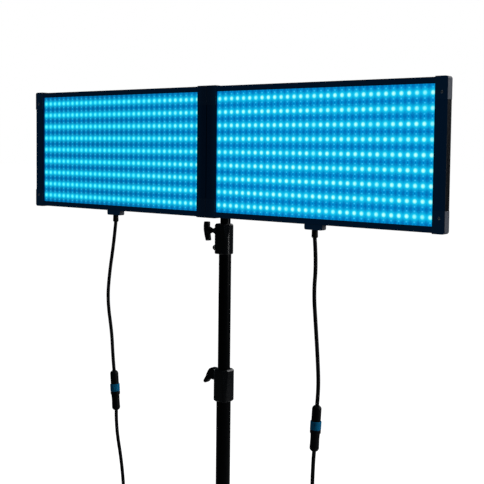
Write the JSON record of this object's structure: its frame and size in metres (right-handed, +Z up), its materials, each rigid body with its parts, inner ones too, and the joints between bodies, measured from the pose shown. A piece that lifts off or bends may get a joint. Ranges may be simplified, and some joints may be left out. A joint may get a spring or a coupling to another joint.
{
  "type": "led panel light",
  "caption": "Long two-panel LED light with a clear front, tilting on a three-section folding light stand, with a hanging supply cord and in-line connector at each panel.",
  "frame": {"origin": "on the floor, on the stand's axis", "axes": "+Z up along the stand, -Y the way the panels face, X along the panels"},
  "size_m": [1.2218, 0.8512, 1.6541],
  "materials": {
    "black_aluminium": "black anodised, satin",
    "black_sheet_metal": "black powder coat, fine texture",
    "led_board": "glowing circuit board, blue solder resist",
    "clear_sheet": "clear, gloss",
    "corner_plastic": "moulded, fine grain",
    "bright_steel": "zinc plated",
    "dark_steel": "black oxide",
    "stand_tube": "black anodised, satin",
    "stand_flat": "black, satin",
    "clamp_casting": "black, semi gloss casting",
    "knob_plastic": "glass filled nylon",
    "friction_fibre": "fibre",
    "foot_rubber": "matt",
    "cord_rubber": "matt jacket",
    "connector_plastic": "moulded",
    "ring_plastic": "blue moulded"
  },
  "bodies": {
    "root": {"bottom_tube": "stand_tube", "lower_clamp": "clamp_casting", "bottom_hub": "clamp_casting", "brace_pins": "dark_steel", "left_supply_cord": "cord_rubber", "right_supply_cord": "cord_rubber", "left_coil": "cord_rubber", "right_coil": "cord_rubber", "left_end_connector": "connector_plastic", "right_end_connector": "connector_plastic"},
    "leg_collar": {"leg_collar": "clamp_casting", "leg_pins": "dark_steel"},
    "collar_knob": {"leg_collar_knob": "knob_plastic"},
    "lower_lever": {"lower_clamp_lever": "knob_plastic"},
    "middle": {"middle_tube": "stand_tube", "upper_clamp": "clamp_casting", "upper_clamp_bolt": "dark_steel"},
    "upper_knob": {"upper_clamp_knob": "knob_plastic"},
    "top": {"top_tube": "stand_tube", "top_stud": "bright_steel"},
    "receiver": {"receiver_body": "clamp_casting", "cord_plugs": "connector_plastic", "cord_sockets": "connector_plastic"},
    "receiver_knob": {"receiver_knob": "knob_plastic"},
    "left_ring": {"left_lock_ring": "ring_plastic"},
    "right_ring": {"right_lock_ring": "ring_plastic"},
    "head": {"left_frame": "black_aluminium", "left_back_cover": "black_sheet_metal", "left_led_board": "led_board", "left_led_strips": "led_board", "left_front_sheet": "clear_sheet", "right_frame": "black_aluminium", "right_back_cover": "black_sheet_metal", "right_led_board": "led_board", "right_led_strips": "led_board", "right_front_sheet": "clear_sheet", "board_standoffs": "bright_steel", "corner_caps": "corner_plastic", "cap_screws": "bright_steel", "power_inlets": "corner_plastic", "strain_reliefs": "cord_rubber", "joiner_plates": "black_sheet_metal", "frame_screws": "dark_steel", "cross_beam": "black_aluminium", "beam_clamps": "black_sheet_metal", "tilt_bracket": "black_sheet_metal", "tilt_washers": "friction_fibre", "tilt_bolt": "dark_steel", "left_pigtail": "cord_rubber", "right_pigtail": "cord_rubber"},
    "tilt_lever": {"tilt_lever": "knob_plastic"},
    "leg_a": {"leg_a": "stand_tube", "foot_a": "foot_rubber"},
    "brace_a": {"brace_a": "stand_flat"},
    "leg_b": {"leg_b": "stand_tube", "foot_b": "foot_rubber"},
    "brace_b": {"brace_b": "stand_flat"},
    "leg_c": {"leg_c": "stand_tube", "foot_c": "foot_rubber"},
    "brace_c": {"brace_c": "stand_flat"}
  },
  "joints": [
    {"name": "middle_slide", "type": "slide", "parent": "root", "child": "middle", "axis": [0, 0, 1], "range_m": [-0.26, 0.3], "deforming": ["left_supply_cord", "right_supply_cord"]},
    {"name": "top_slide", "type": "slide", "parent": "middle", "child": "top", "axis": [0, 0, 1], "range_m": [-0.07, 0.35]},
    {"name": "pan", "type": "hinge", "parent": "top", "child": "receiver", "pos_m": [0, 0, 1.425], "axis": [0, 0, 1], "range_deg": [-60, 60]},
    {"name": "tilt", "type": "hinge", "parent": "receiver", "child": "head", "pos_m": [0, 0, 1.5], "axis": [1, 0, 0], "range_deg": [-75, 10], "deforming": ["left_pigtail", "right_pigtail"]},
    {"name": "tilt_lever_turn", "type": "hinge", "parent": "head", "child": "tilt_lever", "pos_m": [0, 0, 1.5], "axis": [1, 0, 0], "range_deg": [-15, 75]},
    {"name": "receiver_knob_turn", "type": "hinge", "parent": "receiver", "child": "receiver_knob", "pos_m": [0, 0.03, 1.425], "axis": [0, 1, 0], "range_deg": [0, 270]},
    {"name": "upper_knob_turn", "type": "hinge", "parent": "middle", "child": "upper_knob", "pos_m": [-0.055, 0, 1.309], "axis": [-1, 0, 0], "range_deg": [0, 180]},
    {"name": "lower_lever_turn", "type": "hinge", "parent": "root", "child": "lower_lever", "pos_m": [-0.04, 0, 0.958], "axis": [-1, 0, 0], "range_deg": [-90, 90]},
    {"name": "collar_slide", "type": "slide", "parent": "root", "child": "leg_collar", "axis": [0, 0, 1], "range_m": [0, 0.1362]},
    {"name": "collar_knob_turn", "type": "hinge", "parent": "leg_collar", "child": "collar_knob", "pos_m": [-0.04, 0, 0.495], "axis": [-1, 0, 0], "range_deg": [0, 270]},
    {"name": "leg_a_fold", "type": "hinge", "parent": "leg_collar", "child": "leg_a", "pos_m": [0.042, 0, 0.495], "axis": [0, 1, 0], "range_deg": [0, 37.05]},
    {"name": "brace_a_fold", "type": "hinge", "parent": "root", "child": "brace_a", "pos_m": [0.042, 0, 0.095], "axis": [0, 1, 0], "range_deg": [-37.05, 0]},
    {"name": "leg_b_fold", "type": "hinge", "parent": "leg_collar", "child": "leg_b", "pos_m": [-0.021, 0.03637, 0.495], "axis": [-0.866, -0.5, 0], "range_deg": [0, 37.05]},
    {"name": "brace_b_fold", "type": "hinge", "parent": "root", "child": "brace_b", "pos_m": [-0.021, 0.03637, 0.095], "axis": [-0.866, -0.5, 0], "range_deg": [-37.05, 0]},
    {"name": "leg_c_fold", "type": "hinge", "parent": "leg_collar", "child": "leg_c", "pos_m": [-0.021, -0.03637, 0.495], "axis": [0.866, -0.5, 0], "range_deg": [0, 37.05]},
    {"name": "brace_c_fold", "type": "hinge", "parent": "root", "child": "brace_c", "pos_m": [-0.021, -0.03637, 0.095], "axis": [0.866, -0.5, 0], "range_deg": [-37.05, 0]},
    {"name": "left_ring_turn", "type": "hinge", "parent": "receiver", "child": "left_ring", "pos_m": [-0.30732, -0.067, 0.8906], "axis": [0.084, 0, -0.9965], "range_deg": [0, 60]},
    {"name": "right_ring_turn", "type": "hinge", "parent": "receiver", "child": "right_ring", "pos_m": [0.31381, -0.067, 0.91182], "axis": [-0.0569, 0, -0.9984], "range_deg": [0, 60]}
  ],
  "couplings": [
    {"joint": "leg_a_fold", "follows": "collar_slide", "rad_per_m": 4.7412},
    {"joint": "brace_a_fold", "follows": "collar_slide", "rad_per_m": -4.7412},
    {"joint": "leg_b_fold", "follows": "collar_slide", "rad_per_m": 4.7412},
    {"joint": "brace_b_fold", "follows": "collar_slide", "rad_per_m": -4.7412},
    {"joint": "leg_c_fold", "follows": "collar_slide", "rad_per_m": 4.7412},
    {"joint": "brace_c_fold", "follows": "collar_slide", "rad_per_m": -4.7412}
  ]
}
